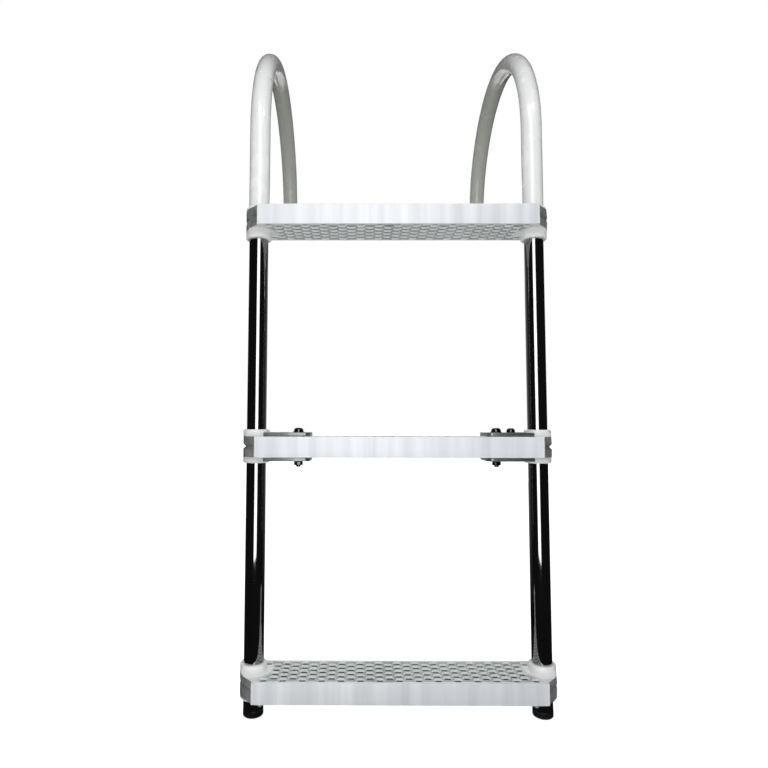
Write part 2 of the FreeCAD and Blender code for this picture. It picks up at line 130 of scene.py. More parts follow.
class Side(Enum):
    """The two sides of the ladder, as someone who faces the steps sees them."""

    LEFT = "left"
    RIGHT = "right"

    @property
    def sign(self) -> int:
        """Returns the sign of x on this side."""
        return -1 if self is Side.LEFT else 1


class Level(Enum):
    """The three steps, from the hooks down."""

    TOP = "top"
    MIDDLE = "middle"
    BOTTOM = "bottom"


class Zone(IntEnum):
    """The parts of a step's casting that have a finish of their own, by material index."""

    DECK = 0
    BOSS = 1
    # The end faces, dressed in a darker copy of the metal as painted shade.
    CHEEK = 2
    CELL_WALL = 3


# Shader graphs


class Graph:
    """Adds nodes to one node tree and links them by name."""

    def __init__(self, tree: bpy.types.NodeTree) -> None:
        """Keeps the tree that the nodes go to.

        Args:
            tree: the node tree.
        """
        self.tree = tree

    def add(self, kind: str, **values: object) -> bpy.types.Node:
        """Adds a node and sets its properties and inputs.

        Args:
            kind: the node's Blender type, such as ShaderNodeMath.
            values: properties of the node, or inputs by lower-case name.

        Returns:
            The new node.
        """
        node = self.tree.nodes.new(kind)
        sockets = {s.name.lower().replace(" ", "_"): s for s in reversed(list(node.inputs))}
        for name, value in values.items():
            if name in sockets:
                if isinstance(value, bpy.types.NodeSocket):
                    self.tree.links.new(value, sockets[name])
                else:
                    sockets[name].default_value = value
            else:
                setattr(node, name, value)
        return node

    def link(self, source: bpy.types.NodeSocket, target: bpy.types.NodeSocket) -> None:
        """Links one socket to another.

        Args:
            source: the output.
            target: the input.
        """
        self.tree.links.new(source, target)

    def spot(self) -> bpy.types.Node:
        """Returns a node that puts out the Object coordinates as X, Y and Z."""
        place = self.add("ShaderNodeTexCoord")
        split = self.add("ShaderNodeSeparateXYZ")
        self.link(place.outputs["Object"], split.inputs[0])
        return split

    def math(self, operation: str, a: object, b: object = 0.0,
             clamp: bool = False) -> bpy.types.NodeSocket:
        """Adds a Math node.

        Args:
            operation: the node's operation.
            a: first value or socket.
            b: second value or socket.
            clamp: whether the result is kept from 0 to 1.

        Returns:
            The result's socket.
        """
        node = self.tree.nodes.new("ShaderNodeMath")
        node.operation = operation
        node.use_clamp = clamp
        for index, value in enumerate((a, b)):
            if isinstance(value, bpy.types.NodeSocket):
                self.tree.links.new(value, node.inputs[index])
            else:
                node.inputs[index].default_value = value
        return node.outputs[0]

    def span(self, value: bpy.types.NodeSocket, low: float, high: float,
             out_low: float = 0.0, out_high: float = 1.0) -> bpy.types.NodeSocket:
        """Maps a value from one range to another, clamped.

        Args:
            value: the socket to map.
            low: start of the source range.
            high: end of the source range.
            out_low: result at low.
            out_high: result at high.

        Returns:
            The mapped value's socket.
        """
        node = self.tree.nodes.new("ShaderNodeMapRange")
        self.tree.links.new(value, node.inputs["Value"])
        ends = {"From Min": low, "From Max": high, "To Min": out_low, "To Max": out_high}
        for name, number in ends.items():
            node.inputs[name].default_value = number
        return node.outputs["Result"]

    def tint(self, factor: bpy.types.NodeSocket, first: object, second: object) -> bpy.types.NodeSocket:
        """Mixes two colours.

        Args:
            factor: how much of the second colour shows.
            first: colour or socket.
            second: colour or socket.

        Returns:
            The mixed colour's socket.
        """
        node = self.tree.nodes.new("ShaderNodeMix")
        node.data_type = "RGBA"
        self.tree.links.new(factor, node.inputs[0])
        for index, value in ((6, first), (7, second)):
            if isinstance(value, bpy.types.NodeSocket):
                self.tree.links.new(value, node.inputs[index])
            else:
                node.inputs[index].default_value = (*value, 1.0)
        return node.outputs[2]


def empty_graph(owner: bpy.types.Material | bpy.types.World) -> Graph:
    """Gives a material or world an empty node tree.

    Args:
        owner: the material or world.

    Returns:
        A graph for its nodes.
    """
    owner.use_nodes = True
    owner.node_tree.nodes.clear()
    return Graph(owner.node_tree)


def make_group(name: str, inputs: dict[str, float],
               outputs: list[str]) -> tuple[bpy.types.NodeTree, Graph]:
    """Makes an empty shader node group with float sockets.

    Args:
        name: the group's name.
        inputs: default value by input name.
        outputs: names of the outputs.

    Returns:
        The group and a graph for its nodes.
    """
    tree = bpy.data.node_groups.new(name, "ShaderNodeTree")
    for label, value in inputs.items():
        socket = tree.interface.new_socket(label, in_out="INPUT", socket_type="NodeSocketFloat")
        socket.default_value = value
    for label in outputs:
        tree.interface.new_socket(label, in_out="OUTPUT", socket_type="NodeSocketFloat")
    return tree, Graph(tree)


def worn_edge_group() -> bpy.types.NodeTree:
    """Builds the mask of rubbed convex edges that several metals share.

    Returns:
        A group that puts out Mask, 1 on worn edges.
    """
    tree, graph = make_group("worn_edges", {"Amount": 0.5, "Break Up": 120.0}, ["Mask"])
    source = graph.add("NodeGroupInput")
    sink = graph.add("NodeGroupOutput")
    shape = graph.add("ShaderNodeNewGeometry")
    place = graph.add("ShaderNodeTexCoord")
    noise = graph.add("ShaderNodeTexNoise", detail=3.0)
    graph.link(place.outputs["Object"], noise.inputs["Vector"])
    graph.link(source.outputs["Break Up"], noise.inputs["Scale"])
    sharp = graph.span(shape.outputs["Pointiness"], *WORN_SPAN)
    broken = graph.span(noise.outputs["Fac"], *BROKEN_SPAN)
    mask = graph.math("MULTIPLY", sharp, broken)
    graph.link(graph.math("MULTIPLY", mask, source.outputs["Amount"], clamp=True), sink.inputs["Mask"])
    return tree


def grain_group() -> bpy.types.NodeTree:
    """Builds fine surface grain: a height and a slow blotch, in Object coordinates.

    Returns:
        A group that puts out Height and Blotch, both about 0 to 1.
    """
    inputs = {"Fine": 900.0, "Coarse": 25.0, "Stretch": 1.0}
    tree, graph = make_group("grain", inputs, ["Height", "Blotch"])
    source = graph.add("NodeGroupInput")
    sink = graph.add("NodeGroupOutput")
    place = graph.add("ShaderNodeTexCoord")
    join = graph.add("ShaderNodeCombineXYZ", x=1.0, y=1.0)
    graph.link(source.outputs["Stretch"], join.inputs["Z"])
    turned = graph.add("ShaderNodeVectorMath", operation="MULTIPLY")
    graph.link(place.outputs["Object"], turned.inputs[0])
    graph.link(join.outputs["Vector"], turned.inputs[1])
    fine = graph.add("ShaderNodeTexNoise", detail=2.0)
    coarse = graph.add("ShaderNodeTexNoise", detail=3.0)
    graph.link(turned.outputs[0], fine.inputs["Vector"])
    graph.link(turned.outputs[0], coarse.inputs["Vector"])
    graph.link(source.outputs["Fine"], fine.inputs["Scale"])
    graph.link(source.outputs["Coarse"], coarse.inputs["Scale"])
    graph.link(fine.outputs["Fac"], sink.inputs["Height"])
    graph.link(coarse.outputs["Fac"], sink.inputs["Blotch"])
    return tree


def web_shade_mask(graph: Graph) -> bpy.types.NodeSocket:
    """Builds the mask of the painted dark reflection on the web tops between a step's cells.

    Args:
        graph: the material's graph.

    Returns:
        A socket that is 1 on the web tops, and 0 on the rim and round the bosses.
    """
    spot = graph.spot()
    across = graph.math("SUBTRACT", graph.math("ABSOLUTE", spot.outputs["X"]), RAIL_X)
    along = graph.math("SUBTRACT", spot.outputs["Y"], RAIL_Y)
    spoke = graph.add("ShaderNodeCombineXYZ", x=across, y=along)
    away = graph.add("ShaderNodeVectorMath", operation="LENGTH")
    graph.link(spoke.outputs[0], away.inputs[0])
    middle = graph.math("ABSOLUTE", graph.math("SUBTRACT", spot.outputs["Y"], DECK_Y))
    inside = graph.span(middle, *WEB_RIM_SPAN, 1.0, 0.0)
    clear = graph.span(away.outputs["Value"], *WEB_BOSS_SPAN)
    ends = graph.span(across, *WEB_END_SPAN, 1.0, WEB_END_SHARE)
    return graph.math("MULTIPLY", graph.math("MULTIPLY", inside, clear), ends)


def cell_shade_mask(graph: Graph) -> bpy.types.NodeSocket:
    """Builds the mask for the painted shade in a step's cells: how near a step's level faces a spot is.

    Args:
        graph: the material's graph.

    Returns:
        A socket that is 1 near the faces and 0 low down in the cells, where the painted shade shows.
    """
    height = graph.spot().outputs["Z"]
    level = graph.math("ROUND", graph.math("DIVIDE", height, PITCH))
    off = graph.math("SUBTRACT", height, graph.math("MULTIPLY", level, PITCH))
    return graph.span(graph.math("ABSOLUTE", off), *CELL_SHADE_SPAN)


@dataclass(frozen=True)
class Finish:
    """One surface finish of the ladder, built as a Principled material.

    Attributes:
        name: the material's name.
        slot: the record's slot; not used.
        colour: base colour, linear.
        dark: colour of the slow blotches.
        metallic: how metallic the surface is.
        rough: roughness at the blotches' low and high.
        fine: scale of the fine grain.
        coarse: scale of the blotches.
        stretch: how much finer the grain is along Z, under 1 for upright brushing.
        bump: height of the grain in metres.
        wear: how much of the edges is rubbed bright.
        worn: colour of the rubbed edges.
        coat: clear gloss over the colour.
        coat_ior: refractive index of that gloss.
        rear_shade: painted shade, the darker colour that the surface takes towards the back of the
            ladder, if any.
        cell_shade: painted shade, the dark colour inside a step's cells away from its faces, if any.
        web_shade: painted dark reflection, the darker colour of a step's level faces between its cells,
            if any.
    """

    name: str
    slot: str
    colour: Colour
    dark: Colour
    metallic: float = 0.0
    rough: tuple[float, float] = (0.4, 0.5)
    fine: float = 900.0
    coarse: float = 25.0
    stretch: float = 1.0
    bump: float = 0.00002
    wear: float = 0.0
    worn: Colour = (0.8, 0.8, 0.8)
    coat: float = 0.0
    coat_ior: float = 1.5
    rear_shade: Colour | None = None
    cell_shade: Colour | None = None
    web_shade: Colour | None = None

    def build(self, shared: dict[str, bpy.types.NodeTree]) -> bpy.types.Material:
        """Builds the material.

        Args:
            shared: the node groups by name.

        Returns:
            The material.
        """
        material = bpy.data.materials.new(self.name)
        graph = empty_graph(material)
        out = graph.add("ShaderNodeOutputMaterial")
        shader = graph.add("ShaderNodeBsdfPrincipled", metallic=self.metallic)
        shader.inputs["Coat Weight"].default_value = self.coat
        shader.inputs["Coat Roughness"].default_value = COAT_ROUGHNESS
        shader.inputs["Coat IOR"].default_value = self.coat_ior
        grain = graph.add("ShaderNodeGroup", node_tree=shared["grain"])
        grain.inputs["Fine"].default_value = self.fine
        grain.inputs["Coarse"].default_value = self.coarse
        grain.inputs["Stretch"].default_value = self.stretch
        blotch = graph.span(grain.outputs["Blotch"], *BLOTCH_SPAN)
        colour = graph.tint(blotch, self.dark, self.colour)
        rough = graph.span(blotch, 0.0, 1.0, self.rough[0], self.rough[1])
        if self.wear:
            edges = graph.add("ShaderNodeGroup", node_tree=shared["worn"])
            edges.inputs["Amount"].default_value = self.wear
            colour = graph.tint(edges.outputs["Mask"], colour, self.worn)
        # Painted shade: the colour darkens towards the back of the ladder, standing in for the front
        # light falling off.
        if self.rear_shade:
            colour = graph.tint(graph.span(graph.spot().outputs["Y"], *REAR_SHADE_SPAN), colour, self.rear_shade)
        # Painted dark reflection: a step's web tops are darker than its rim and the faces round the
        # bosses.
        if self.web_shade:
            colour = graph.tint(web_shade_mask(graph), colour, self.web_shade)
        # Painted shade: the cell walls turn dark further inside the cells.
        if self.cell_shade:
            colour = graph.tint(cell_shade_mask(graph), self.cell_shade, colour)
        graph.link(colour, shader.inputs["Base Color"])
        graph.link(rough, shader.inputs["Roughness"])
        bump = graph.add("ShaderNodeBump", strength=1.0, distance=self.bump)
        graph.link(grain.outputs["Height"], bump.inputs["Height"])
        graph.link(bump.outputs["Normal"], shader.inputs["Normal"])
        graph.link(shader.outputs["BSDF"], out.inputs["Surface"])
        return material


FINISHES = (
    Finish("polished_rail", "rail_metal", (0.52, 0.52, 0.52), (0.46, 0.46, 0.46), metallic=1.0,
           rough=(0.045, 0.07), fine=1500.0, coarse=14.0, stretch=0.03, bump=0.0000008),
    # The hook covers carry painted shade that darkens them towards their back legs.
    Finish("hook_vinyl", "hook_vinyl", (0.89, 0.905, 0.90), (0.85, 0.86, 0.86), rough=(0.22, 0.30),
           fine=260.0, coarse=40.0, bump=0.00002, coat=0.8, coat_ior=1.6, rear_shade=(0.46, 0.475, 0.435)),
    Finish("foot_rubber", "foot_rubber", (0.012, 0.012, 0.013), (0.007, 0.007, 0.008), rough=(0.25, 0.36),
           fine=700.0, bump=0.00005),
    # The step's level faces carry a painted dark reflection on their web tops.
    Finish("cast_tread", "tread_metal", (0.93, 0.96, 0.955), (0.85, 0.89, 0.885), metallic=0.1,
           rough=(0.26, 0.36), fine=1100.0, bump=0.00004, wear=0.3, worn=(0.97, 0.97, 0.97),
           web_shade=(0.44, 0.475, 0.47)),
    # The cell walls carry painted shade deep inside the cells.
    Finish("cell_wall", "tread_metal", (0.95, 0.99, 0.99), (0.92, 0.96, 0.96), rough=(0.30, 0.40),
           fine=1100.0, bump=0.00004, cell_shade=(0.02, 0.022, 0.022)),
    Finish("cast_boss", "tread_metal", (0.97, 0.98, 0.975), (0.93, 0.94, 0.935), metallic=0.1,
           rough=(0.40, 0.50), fine=1100.0, bump=0.00004, wear=0.3, worn=(0.98, 0.98, 0.98)),
    # Painted shade: the end faces, which turn away from the front light, are a darker copy of the
    # casting's metal.
    Finish("cast_cheek", "tread_metal", (0.44, 0.46, 0.46), (0.26, 0.275, 0.275), metallic=0.5,
           rough=(0.30, 0.42), fine=1100.0, coarse=60.0, bump=0.00004, wear=0.5, worn=(0.7, 0.72, 0.72)),
    Finish("flat_strip", "strip_metal", (0.84, 0.87, 0.90), (0.66, 0.69, 0.72), metallic=0.1,
           rough=(0.34, 0.42), fine=420.0, coarse=60.0, stretch=0.04, bump=0.000006),
    # Painted highlight: the strips' bent ends are a lighter copy of their metal.
    Finish("strip_bend", "strip_metal", (0.93, 0.94, 0.94), (0.86, 0.87, 0.87), metallic=0.1,
           rough=(0.34, 0.42), fine=420.0, coarse=60.0, stretch=0.04, bump=0.000006),
    Finish("flange_plate", "plate_metal", (0.34, 0.37, 0.36), (0.22, 0.245, 0.24), metallic=0.8,
           rough=(0.26, 0.36), fine=1000.0, bump=0.00003, wear=0.3, worn=(0.6, 0.63, 0.62)),
    Finish("bright_bolt", "fastener_steel", (0.17, 0.17, 0.17), (0.12, 0.12, 0.12), metallic=1.0,
           rough=(0.08, 0.14), fine=1600.0, bump=0.000004),
)


class Palette:
    """The built materials, by finish name."""

    def __init__(self) -> None:
        """Builds the shared groups and every finish."""
        shared = {"grain": grain_group(), "worn": worn_edge_group()}
        self.finishes = {finish.name: finish for finish in FINISHES}
        self.materials = {name: finish.build(shared) for name, finish in self.finishes.items()}

    def dress(self, obj: bpy.types.Object, *names: str) -> None:
        """Gives an object its finishes, in order.

        Args:
            obj: the piece.
            names: the finishes' names.
        """
        obj.data.materials.clear()
        for name in names:
            obj.data.materials.append(self.materials[name])


# Meshes


def add_object(name: str, mesh: bmesh.types.BMesh) -> bpy.types.Object:
    """Makes an object from a bmesh, at the origin, and frees the bmesh.

    Args:
        name: the object's name.
        mesh: its shape.

    Returns:
        The new object, which is in the scene.
    """
    data = bpy.data.meshes.new(name)
    mesh.to_mesh(data)
    mesh.free()
    obj = bpy.data.objects.new(name, data)
    bpy.context.scene.collection.objects.link(obj)
    return obj


def new_piece(name: str, mesh: bmesh.types.BMesh, smooth_angle: float = 35.0) -> bpy.types.Object:
    """Makes a piece of the ladder from a bmesh, and frees the bmesh.

    Args:
        name: the piece's name.
        mesh: its shape, in metres in the ladder's frame.
        smooth_angle: faces that meet at less than this many degrees are shaded smooth.

    Returns:
        The new object, which rides on the ladder's body.
    """
    for face in mesh.faces:
        face.smooth = True
    limit = math.radians(smooth_angle)
    for edge in mesh.edges:
        edge.smooth = len(edge.link_faces) == 2 and edge.calc_face_angle(0.0) < limit
    obj = add_object(name, mesh)
    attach(obj, ROOT)
    return obj


def merged_copy(node: bpy.types.Object) -> bmesh.types.BMesh:
    """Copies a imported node's mesh with its triangles merged into flat faces.

    Args:
        node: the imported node's object.

    Returns:
        A closed bmesh with few faces.
    """
    mesh = bmesh.new()
    mesh.from_mesh(node.data)
    bmesh.ops.remove_doubles(mesh, verts=mesh.verts, dist=WELD)
    bmesh.ops.dissolve_limit(mesh, angle_limit=math.radians(FLAT_DEGREES), use_dissolve_boundaries=False,
                             verts=mesh.verts, edges=mesh.edges)
    return mesh


def soften(mesh: bmesh.types.BMesh, width: float, segments: int, least_angle: float = 40.0) -> None:
    """Rounds the sharp edges of a mesh.

    Args:
        mesh: the mesh to change.
        width: how wide the rounding is, in metres.
        segments: faces across the rounding.
        least_angle: edges whose faces turn by less, in degrees, stay as they are.
    """
    limit = math.radians(least_angle)
    sharp = [e for e in mesh.edges if len(e.link_faces) == 2 and e.calc_face_angle(0.0) > limit]
    bmesh.ops.bevel(mesh, geom=sharp, offset=width, offset_type="OFFSET", affect="EDGES",
                    segments=segments, profile=0.5, material=-1, clamp_overlap=True)


def in_order(mesh: bmesh.types.BMesh) -> bmesh.types.BMesh:
    """Rebuilds a mesh with its points and faces in the same order on every run.

    Extruding and spinning leave them in an order that changes from run to run.

    Args:
        mesh: the mesh, which is freed.

    Returns:
        The same shape in a fixed order.
    """
    points = sorted(mesh.verts, key=lambda v: (v.co.z, v.co.y, v.co.x))
    place = {point: index for index, point in enumerate(points)}
    rings = []
    for face in mesh.faces:
        ring = [place[point] for point in face.verts]
        start = ring.index(min(ring))
        rings.append(ring[start:] + ring[:start])
    ordered = bmesh.new()
    verts = [ordered.verts.new(point.co) for point in points]
    for ring in sorted(rings):
        ordered.faces.new([verts[index] for index in ring])
    ordered.normal_update()
    mesh.free()
    return ordered


@dataclass
class Rail:
    """One rail: a tube from its foot to the free end of its hook, with the hook's cover.

    Attributes:
        side: which side it stands on.
        radius: outside radius of the tube.
        cover_radius: outside radius of the white cover.
        cover_round: rounding of the cover's ends.
        cover_steps: faces across that rounding.
        bow_radius: bend radius of the hook.
        bow_start: height where the bend starts.
        tail: length of the straight end.
        foot: height of the tube's lower end.
        cover_foot: height where the cover starts.
        round_steps: faces round the tube.
        leg_steps: faces along the straight leg.
        bend_steps: faces along the bend.
    """

    side: Side
    radius: float = 12.7 * MM
    cover_radius: float = 13.65 * MM
    cover_round: float = 0.35 * MM
    cover_steps: int = 3
    bow_radius: float = 175.0 * MM
    bow_start: float = 132.0 * MM
    tail: float = 18.0 * MM
    foot: float = -627.0 * MM
    cover_foot: float = 21.6 * MM
    round_steps: int = 64
    leg_steps: int = 8
    bend_steps: int = 96

    @staticmethod
    def drawn(mesh: bmesh.types.BMesh, edges: list[bmesh.types.BMEdge],
              rise: float) -> list[bmesh.types.BMEdge]:
        """Extrudes an open ring of edges straight up or down.

        Args:
            mesh: the mesh to change.
            edges: the ring.
            rise: how far up it goes, in metres.

        Returns:
            The new ring.
        """
        grown = bmesh.ops.extrude_edge_only(mesh, edges=edges)
        verts = [v for v in grown["geom"] if isinstance(v, bmesh.types.BMVert)]
        bmesh.ops.translate(mesh, verts=verts, vec=(0.0, 0.0, rise))
        return [e for e in grown["geom"] if isinstance(e, bmesh.types.BMEdge)]

    def cane(self, radius: float, bottom: float) -> bmesh.types.BMesh:
        """Builds a walking-stick shape by extruding and spinning one ring.

        Args:
            radius: radius of the ring.
            bottom: height where the straight leg starts.

        Returns:
            The closed shape.
        """
        mesh = bmesh.new()
        x = self.side.sign * RAIL_X
        bmesh.ops.create_circle(mesh, cap_ends=False, segments=self.round_steps, radius=radius,
                                matrix=Matrix.Translation((x, RAIL_Y, bottom)))
        edges = mesh.edges[:]
        bmesh.ops.contextual_create(mesh, geom=edges)
        for _ in range(self.leg_steps):
            edges = self.drawn(mesh, edges, (self.bow_start - bottom) / self.leg_steps)
        spun = bmesh.ops.spin(mesh, geom=edges, cent=(x, RAIL_Y + self.bow_radius, self.bow_start),
                              axis=(1.0, 0.0, 0.0), dvec=(0.0, 0.0, 0.0), angle=-math.pi,
                              steps=self.bend_steps, use_merge=False, use_normal_flip=False,
                              use_duplicate=False)
        edges = [e for e in spun["geom_last"] if isinstance(e, bmesh.types.BMEdge)]
        edges = self.drawn(mesh, edges, -self.tail)
        bmesh.ops.contextual_create(mesh, geom=edges)
        bmesh.ops.recalc_face_normals(mesh, faces=mesh.faces)
        return in_order(mesh)

    def build(self, palette: Palette) -> None:
        """Builds the tube and the cover, and dresses them.

        Args:
            palette: the materials.
        """
        name = self.side.value
        tube = new_piece("tube_" + name, self.cane(self.radius, self.foot))
        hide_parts("rail_" + name)
        palette.dress(tube, "polished_rail")
        shape = self.cane(self.cover_radius, self.cover_foot)
        soften(shape, self.cover_round, self.cover_steps)
        cover = new_piece("cover_" + name, shape)
        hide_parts("hook_cover_" + name)
        palette.dress(cover, "hook_vinyl")
        LOG.info("rail %s: tube %d faces, cover %d faces", name, len(tube.data.polygons),
                 len(cover.data.polygons))


@dataclass
class NodeCopy:
    """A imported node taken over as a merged, softened copy.

    Attributes:
        node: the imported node's name.
        finish: its finish.
        width: rounding of its edges, in metres.
        segments: faces across the rounding.
    """

    node: str
    finish: str
    width: float
    segments: int

    def build(self, palette: Palette, nodes: dict[str, bpy.types.Object]) -> bpy.types.Object:
        """Builds the copy and lets it stand for its node.

        Args:
            palette: the materials.
            nodes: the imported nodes.

        Returns:
            The copy.
        """
        mesh = merged_copy(nodes[self.node])
        soften(mesh, self.width, self.segments)
        copy = new_piece(self.node + "_dressed", mesh)
        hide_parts(self.node)
        palette.dress(copy, self.finish)
        LOG.info("%s: %d faces", copy.name, len(copy.data.polygons))
        return copy


@dataclass
class Step:
    """One open step: the cast frame with its two bosses, and its two flat strips.

    Attributes:
        level: which step it is.
        rise: height of a boss above the rim.
        collar: radius of a boss at its top.
        bore: radius of the hole for the rail.
        rim_break: chamfer on a boss's top edge.
        cuts: heights over the rim at which a boss's wall is cut for its flare.
        flare_power: how steeply the flare runs out onto the step.
        near: how far under a boss's top, in height, a point still counts as on it.
        foot: how far over the rim a point has to be to move with the flare.
        edge_round: rounding of the casting's edges.
        edge_steps: faces across that rounding.
        lip: how far over the rim the middle of a boss's face is.
        upright: how much of a level face's normal points up or down.
        cheek_start: how far inside the rail's axis the end faces start.
        bore_edge: how far round the bore no face counts as an end face.
        strip_round: rounding of a strip's edges.
        strip_steps: faces across that rounding.
        bend_lean: how far a strip's face turns sideways before it counts as its bend.
        finishes: the finish of each zone of the casting.
    """

    level: Level
    rise: float = 8.6 * MM
    collar: float = 17.0 * MM
    bore: float = 12.8 * MM
    rim_break: float = 1.4 * MM
    cuts: tuple[float, ...] = (0.5 * MM, 1.2 * MM, 2.1 * MM, 3.2 * MM, 4.5 * MM, 6.0 * MM)
    flare_power: float = 2.4
    near: float = 0.1 * MM
    foot: float = 0.05 * MM
    edge_round: float = 0.45 * MM
    edge_steps: int = 2
    lip: float = 0.02 * MM
    upright: float = 0.9
    cheek_start: float = 7.0 * MM
    bore_edge: float = 0.5 * MM
    strip_round: float = 0.4 * MM
    strip_steps: int = 3
    bend_lean: float = 0.08
    finishes: tuple[tuple[Zone, str], ...] = (
        (Zone.DECK, "cast_tread"),
        (Zone.BOSS, "cast_boss"),
        (Zone.CHEEK, "cast_cheek"),
        (Zone.CELL_WALL, "cell_wall"),
    )

    @property
    def middle(self) -> float:
        """Returns the height of the step's middle."""
        return -PITCH * list(Level).index(self.level)

    def flare(self, mesh: bmesh.types.BMesh) -> None:
        """Draws each boss's straight wall in to a round collar that flares out onto the step.

        Args:
            mesh: the step's casting.
        """
        for way in (1.0, -1.0):
            for cut in self.cuts:
                height = self.middle + way * (HALF_RIM + cut)
                bmesh.ops.bisect_plane(mesh, geom=mesh.verts[:] + mesh.edges[:] + mesh.faces[:],
                                       plane_co=(0.0, 0.0, height), plane_no=(0.0, 0.0, 1.0),
                                       dist=CUT_NEAR)
        for vert in mesh.verts:
            height = abs(vert.co.z - self.middle) - HALF_RIM
            centre = Vector((math.copysign(RAIL_X, vert.co.x), RAIL_Y, vert.co.z))
            spoke = vert.co - centre
            goal = self.collar
            if height > self.rise - self.near:
                goal -= self.rim_break
            if height < self.foot or spoke.length < goal:
                continue
            left = (1.0 - min(height / self.rise, 1.0)) ** self.flare_power
            vert.co = centre + spoke.normalized() * (goal + (spoke.length - goal) * left)

    def zone(self, face: bpy.types.MeshPolygon) -> Zone:
        """Says which zone of the casting a face of the finished mesh is in.

        Args:
            face: the face.

        Returns:
            Its zone.
        """
        height = abs(face.center.z - self.middle)
        outward = math.hypot(abs(face.center.x) - RAIL_X, face.center.y - RAIL_Y)
        if height > HALF_RIM + self.lip:
            return Zone.BOSS
        if abs(face.normal.z) > self.upright:
            return Zone.DECK
        at_end = abs(face.center.x) > RAIL_X - self.cheek_start
        if at_end and face.normal.x * face.center.x > 0.0 and outward > self.bore + self.bore_edge:
            return Zone.CHEEK
        return Zone.CELL_WALL

    def casting(self, palette: Palette, nodes: dict[str, bpy.types.Object]) -> None:
        """Builds the casting from its node, cells and all, and dresses its zones.

        Args:
            palette: the materials.
            nodes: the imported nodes.
        """
        name = "tread_" + self.level.value
        mesh = merged_copy(nodes[name])
        self.flare(mesh)
        soften(mesh, self.edge_round, self.edge_steps)
        frame = new_piece(name + "_dressed", mesh)
        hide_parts(name)
        palette.dress(frame, *(finish for _, finish in self.finishes))
        for face in frame.data.polygons:
            face.material_index = self.zone(face)
        LOG.info("%s: %d faces", frame.name, len(frame.data.polygons))

    def build(self, palette: Palette, nodes: dict[str, bpy.types.Object]) -> None:
        """Builds the casting and the two strips, and dresses them.

        Args:
            palette: the materials.
            nodes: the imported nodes.
        """
        self.casting(palette, nodes)
        for face_side in ("front", "back"):
            name = "%s_strip_%s" % (face_side, self.level.value)
            strip = NodeCopy(name, "flat_strip", self.strip_round, self.strip_steps).build(palette, nodes)
            # The bent ends of each strip take the painted highlight.
            palette.dress(strip, "flat_strip", "strip_bend")
            for face in strip.data.polygons:
                face.material_index = int(abs(face.normal.x) > self.bend_lean)


@dataclass
class Trim:
    """Plugs, plates and fasteners, taken over from their nodes.

    Attributes:
        pairs: the pieces that each side has: node, finish, rounding of the edges, faces across it.
        single: the piece that only the right side has.
    """

    pairs: tuple[tuple[str, str, float, int], ...] = (
        ("foot_cap", "foot_rubber", 0.3 * MM, 2),
        ("hook_plug", "foot_rubber", 0.2 * MM, 2),
        ("plate_upper", "flange_plate", 0.6 * MM, 3),
        ("plate_lower", "flange_plate", 0.6 * MM, 3),
        ("bolt", "bright_bolt", 0.25 * MM, 2),
        ("nut", "bright_bolt", 0.4 * MM, 2),
        ("washer_upper", "bright_bolt", 0.2 * MM, 2),
        ("washer_lower", "bright_bolt", 0.2 * MM, 2),
    )
    single: tuple[str, str, float, int] = ("button_pin_right", "bright_bolt", 0.25 * MM, 2)

    def build(self, palette: Palette, nodes: dict[str, bpy.types.Object]) -> None:
        """Builds every small piece.

        Args:
            palette: the materials.
            nodes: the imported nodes.
        """
        for side in Side:
            for prefix, finish, width, segments in self.pairs:
                NodeCopy("%s_%s" % (prefix, side.value), finish, width, segments).build(palette, nodes)
        NodeCopy(*self.single).build(palette, nodes)


# Studio


@dataclass(frozen=True)
class Card:
    """A flat card that only gloss can see.

    Attributes:
        name: its name.
        low: its lowest corner; one axis is the same in both corners.
        high: its highest corner.
        near: how bright it is at its near end, along y.
        far: how bright it is at its far end.
        fade: height over which it comes up from nothing at its lower edge.
    """

    name: str
    low: Point
    high: Point
    near: float = 0.008
    far: float = 0.008
    fade: float = 0.0


@dataclass(frozen=True)
class Softbox:
    """One rectangular lamp.

    Attributes:
        name: its name.
        place: where it stands.
        aim: what it points at.
        size: its width and height.
        power: its power in watts.
    """

    name: str
    place: Point
    aim: Point
    size: tuple[float, float]
    power: float


